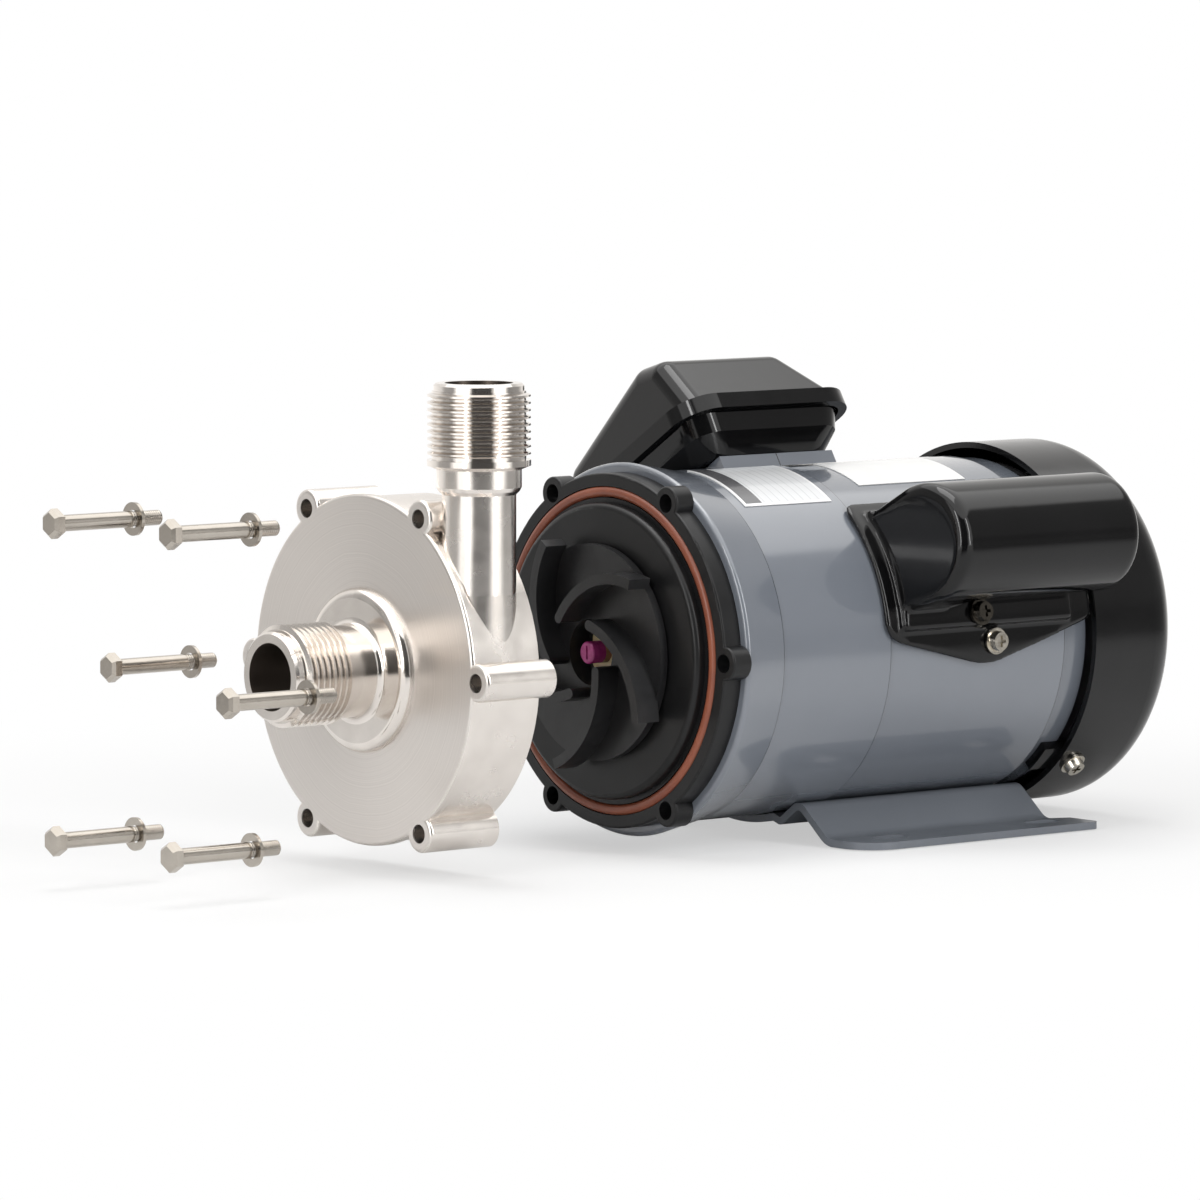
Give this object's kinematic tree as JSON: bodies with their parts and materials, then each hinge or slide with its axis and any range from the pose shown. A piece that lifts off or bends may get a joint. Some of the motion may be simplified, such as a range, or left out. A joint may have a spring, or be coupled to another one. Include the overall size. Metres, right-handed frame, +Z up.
{
  "type": "magnetic drive pump",
  "caption": "Magnetic drive centrifugal pump with electric motor, opened for service: stainless front casing and its bolts drawn off, impeller on its shaft, motor on a slotted foot.",
  "frame": {"origin": "centre of the foot's four slots, on the plane the foot stands on", "axes": "+X along the shaft from the pump end to the fan cover, +Z up, +Y to the side away from the capacitor cover; the inlet points to -X"},
  "size_m": [0.4103, 0.1679, 0.1604],
  "materials": {
    "bearing_steel": "ground and polished",
    "black_casing": "satin moulded",
    "block_plastic": "moulded",
    "box_black": "glossy moulded",
    "bush_plastic": "polished",
    "capacitor_can": "drawn can",
    "cover_black": "gloss black enamel",
    "fan_plastic": "moulded",
    "foot_paint": "satin enamel",
    "gasket_rubber": "matt sheet",
    "gland_plastic": "moulded",
    "impeller_plastic": "satin moulded, glass filled",
    "label_plate": "printed plate, left blank",
    "label_sheet": "film, left blank",
    "lamination_steel": "stacked sheets",
    "magnet_ferrite": "ground ferrite",
    "motor_paint": "gloss enamel",
    "plated_steel": "bright plated",
    "rotor_aluminium": "cast",
    "screw_steel": "plated, slightly worn",
    "seal_rubber": "smooth rubber",
    "shaft_ceramic": "ground ceramic",
    "shaft_steel": "turned",
    "shield_paint": "gloss enamel",
    "sleeve_brown": "smooth",
    "spring_steel": "hardened strip",
    "stainless_casting": "brushed face and satin casting",
    "stud_brass": "turned",
    "tab_black": "gloss black enamel",
    "winding_copper": "varnished copper wire"
  },
  "bodies": {
    "motor": {"blank_label": "label_sheet", "bracket_screws": "screw_steel", "cable_gland": "gland_plastic", "capacitor": "capacitor_can", "capacitor_cover": "box_black", "capacitor_cover_screws": "screw_steel", "ceramic_shaft": "shaft_ceramic", "fan_cover": "cover_black", "fan_cover_screws": "screw_steel", "fan_cover_tabs": "tab_black", "foot": "foot_paint", "front_bearing_outer_ring": "bearing_steel", "front_shell": "motor_paint", "motor_bracket": "motor_paint", "nameplate": "label_plate", "o_ring": "seal_rubber", "rear_bearing_outer_ring": "bearing_steel", "rear_casing": "black_casing", "rear_end_shield": "shield_paint", "rear_shell": "motor_paint", "shaft_sleeve": "sleeve_brown", "stator_core": "lamination_steel", "stator_windings": "winding_copper", "terminal_base": "box_black", "terminal_block": "block_plastic", "terminal_cover": "box_black", "terminal_cover_screws": "screw_steel", "terminal_gasket": "gasket_rubber", "terminal_seat": "motor_paint", "terminal_studs": "stud_brass", "tie_rods": "screw_steel", "wave_spring": "spring_steel"},
    "rotor": {"motor_shaft": "shaft_steel", "rotor_core": "lamination_steel", "rotor_end_rings": "rotor_aluminium", "front_bearing_inner_ring": "bearing_steel", "front_bearing_balls": "bearing_steel", "rear_bearing_inner_ring": "bearing_steel", "rear_bearing_balls": "bearing_steel", "drive_magnet_yoke": "shaft_steel", "drive_magnets": "magnet_ferrite", "cooling_fan": "fan_plastic"},
    "impeller": {"impeller": "impeller_plastic", "impeller_bush": "bush_plastic", "driven_magnets": "magnet_ferrite", "magnet_cap": "impeller_plastic"},
    "front_casing": {"front_casing": "stainless_casting"},
    "bolt_1": {"bolt_1": "plated_steel"},
    "washer_1": {"washer_1": "plated_steel"},
    "bolt_2": {"bolt_2": "plated_steel"},
    "washer_2": {"washer_2": "plated_steel"},
    "bolt_3": {"bolt_3": "plated_steel"},
    "washer_3": {"washer_3": "plated_steel"},
    "bolt_4": {"bolt_4": "plated_steel"},
    "washer_4": {"washer_4": "plated_steel"},
    "bolt_5": {"bolt_5": "plated_steel"},
    "washer_5": {"washer_5": "plated_steel"},
    "bolt_6": {"bolt_6": "plated_steel"},
    "washer_6": {"washer_6": "plated_steel"}
  },
  "joints": [
    {"name": "rotor_spin", "type": "hinge", "parent": "motor", "child": "rotor", "pos_m": [0, 0, 0.066], "axis": [1, 0, 0], "continuous": true},
    {"name": "impeller_spin", "type": "hinge", "parent": "motor", "child": "impeller", "pos_m": [0, 0, 0.066], "axis": [1, 0, 0], "continuous": true},
    {"name": "front_casing_close", "type": "slide", "parent": "motor", "child": "front_casing", "axis": [1, 0, 0], "range_m": [0, 0.0752]},
    {"name": "bolt_1_fit", "type": "slide", "parent": "front_casing", "child": "bolt_1", "axis": [1, 0, 0], "range_m": [0, 0.0957]},
    {"name": "washer_1_fit", "type": "slide", "parent": "front_casing", "child": "washer_1", "axis": [1, 0, 0], "range_m": [0, 0.0665]},
    {"name": "bolt_2_fit", "type": "slide", "parent": "front_casing", "child": "bolt_2", "axis": [1, 0, 0], "range_m": [0, 0.0957]},
    {"name": "washer_2_fit", "type": "slide", "parent": "front_casing", "child": "washer_2", "axis": [1, 0, 0], "range_m": [0, 0.0665]},
    {"name": "bolt_3_fit", "type": "slide", "parent": "front_casing", "child": "bolt_3", "axis": [1, 0, 0], "range_m": [0, 0.0982]},
    {"name": "washer_3_fit", "type": "slide", "parent": "front_casing", "child": "washer_3", "axis": [1, 0, 0], "range_m": [0, 0.069]},
    {"name": "bolt_4_fit", "type": "slide", "parent": "front_casing", "child": "bolt_4", "axis": [1, 0, 0], "range_m": [0, 0.0547]},
    {"name": "washer_4_fit", "type": "slide", "parent": "front_casing", "child": "washer_4", "axis": [1, 0, 0], "range_m": [0, 0.0246]},
    {"name": "bolt_5_fit", "type": "slide", "parent": "front_casing", "child": "bolt_5", "axis": [1, 0, 0], "range_m": [0, 0.0982]},
    {"name": "washer_5_fit", "type": "slide", "parent": "front_casing", "child": "washer_5", "axis": [1, 0, 0], "range_m": [0, 0.069]},
    {"name": "bolt_6_fit", "type": "slide", "parent": "front_casing", "child": "bolt_6", "axis": [1, 0, 0], "range_m": [0, 0.0957]},
    {"name": "washer_6_fit", "type": "slide", "parent": "front_casing", "child": "washer_6", "axis": [1, 0, 0], "range_m": [0, 0.0665]}
  ],
  "couplings": [
    {"joint": "impeller_spin", "follows": "rotor_spin", "ratio": 1},
    {"joint": "washer_1_fit", "follows": "bolt_1_fit", "ratio": 0.69436},
    {"joint": "washer_2_fit", "follows": "bolt_2_fit", "ratio": 0.69436},
    {"joint": "washer_3_fit", "follows": "bolt_3_fit", "ratio": 0.70214},
    {"joint": "washer_4_fit", "follows": "bolt_4_fit", "ratio": 0.44881},
    {"joint": "washer_5_fit", "follows": "bolt_5_fit", "ratio": 0.70214},
    {"joint": "washer_6_fit", "follows": "bolt_6_fit", "ratio": 0.69436}
  ]
}
